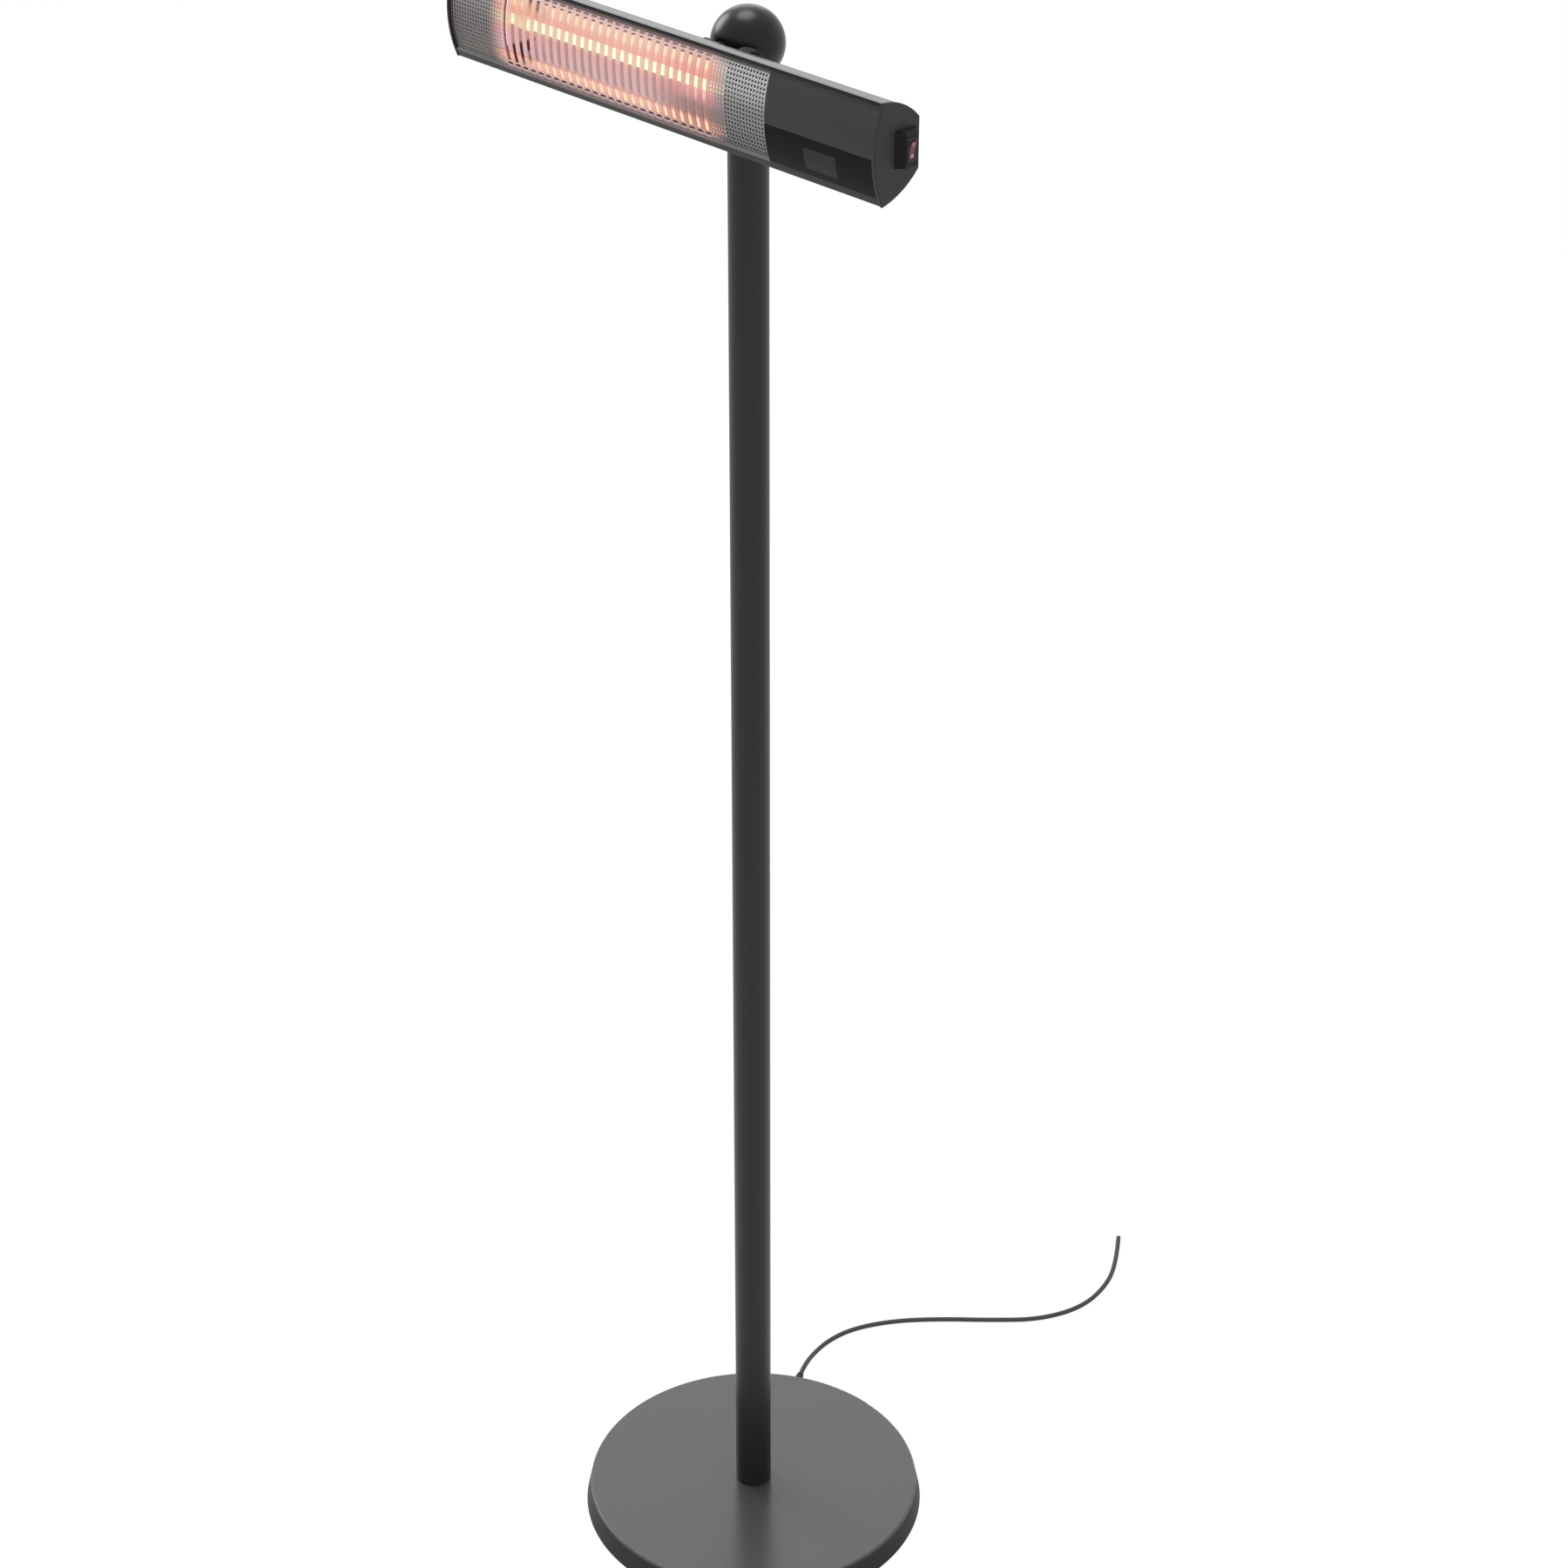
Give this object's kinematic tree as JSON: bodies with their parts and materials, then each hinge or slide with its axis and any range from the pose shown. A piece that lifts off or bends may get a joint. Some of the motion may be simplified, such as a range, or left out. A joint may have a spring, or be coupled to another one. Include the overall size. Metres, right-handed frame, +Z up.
{
  "type": "patio heater",
  "caption": "Free-standing electric patio heater: round weighted base, straight pole, swivelling ball top and a long tilting infrared head with a slotted curved grille.",
  "frame": {"origin": "centre of the underside, on the floor", "axes": "+Z up along the pole, the heater faces -Y, the switch end of the head is at +X"},
  "size_m": [0.69, 1.0129, 2.0642],
  "materials": {
    "charcoal_paint": "fine-texture satin powder coat",
    "charcoal_plastic": "fine-grain matt moulding",
    "black_plastic": "matt moulding",
    "gloss_panel": "polished",
    "smoked_window": "smoked, polished",
    "red_rocker": "polished, translucent red",
    "stainless": "satin",
    "bright_reflector": "polished",
    "quartz": "clear, gold tinted",
    "glowing_wire": "glowing",
    "white_ceramic": "unglazed",
    "zinc_steel": "zinc plated",
    "turned_aluminium": "turned",
    "iron": "as cast",
    "rubber": "matt",
    "cord_jacket": "satin jacket",
    "washer_nylon": "moulded",
    "board_green": "lacquered",
    "terminal_white": "moulded",
    "lead_sleeve": "woven glass sleeve"
  },
  "bodies": {
    "stand": {"floor_mat": "rubber", "base_floor": "zinc_steel", "floor_screws": "zinc_steel", "base_ballast": "iron", "flange_screws": "zinc_steel", "pole_spigot": "zinc_steel", "base_shell": "charcoal_paint", "cord_gland": "rubber", "supply_cable": "cord_jacket", "power_cord": "cord_jacket", "pole_tube": "charcoal_paint", "pole_set_screws": "zinc_steel", "pole_plug": "turned_aluminium", "thrust_washer": "washer_nylon"},
    "ball": {"swivel_ball": "charcoal_paint", "swivel_screw": "zinc_steel", "tilt_arm": "charcoal_paint"},
    "head": {"housing": "charcoal_paint", "tilt_bracket": "charcoal_paint", "left_end_cap": "charcoal_plastic", "right_end_cap": "charcoal_plastic", "control_cover": "charcoal_plastic", "switch_boss": "black_plastic", "switch_bezel": "black_plastic", "switch_body": "black_plastic", "power_relay": "black_plastic", "ir_receiver": "black_plastic", "control_panel": "gloss_panel", "receiver_lens": "smoked_window", "grille": "stainless", "reflector": "bright_reflector", "quartz_tube": "quartz", "heating_filament": "glowing_wire", "lamp_ceramics": "white_ceramic", "bracket_screws": "zinc_steel", "friction_washers": "zinc_steel", "hinge_bolt": "zinc_steel", "knob_washer": "zinc_steel", "cap_screws": "zinc_steel", "left_bulkhead": "zinc_steel", "right_bulkhead": "zinc_steel", "lamp_clips": "zinc_steel", "rocker_pin": "zinc_steel", "board_standoffs": "zinc_steel", "cap_gaskets": "rubber", "control_board": "board_green", "terminal_block": "terminal_white", "lamp_leads": "lead_sleeve"},
    "knob": {"tilt_knob": "black_plastic"},
    "rocker": {"power_rocker": "red_rocker"}
  },
  "joints": [
    {"name": "swivel", "type": "hinge", "parent": "stand", "child": "ball", "pos_m": [0, 0, 2.019], "axis": [0, 0, 1], "range_deg": [-90, 90]},
    {"name": "tilt", "type": "hinge", "parent": "ball", "child": "head", "pos_m": [0, -0.054, 2.019], "axis": [1, 0, 0], "range_deg": [-15, 45]},
    {"name": "knob_turn", "type": "hinge", "parent": "head", "child": "knob", "pos_m": [0.057, -0.054, 2.019], "axis": [1, 0, 0], "continuous": true},
    {"name": "rocker_press", "type": "hinge", "parent": "head", "child": "rocker", "pos_m": [0.3474, -0.101, 2.0115], "axis": [0, -1, 0], "range_deg": [0, 18]}
  ]
}
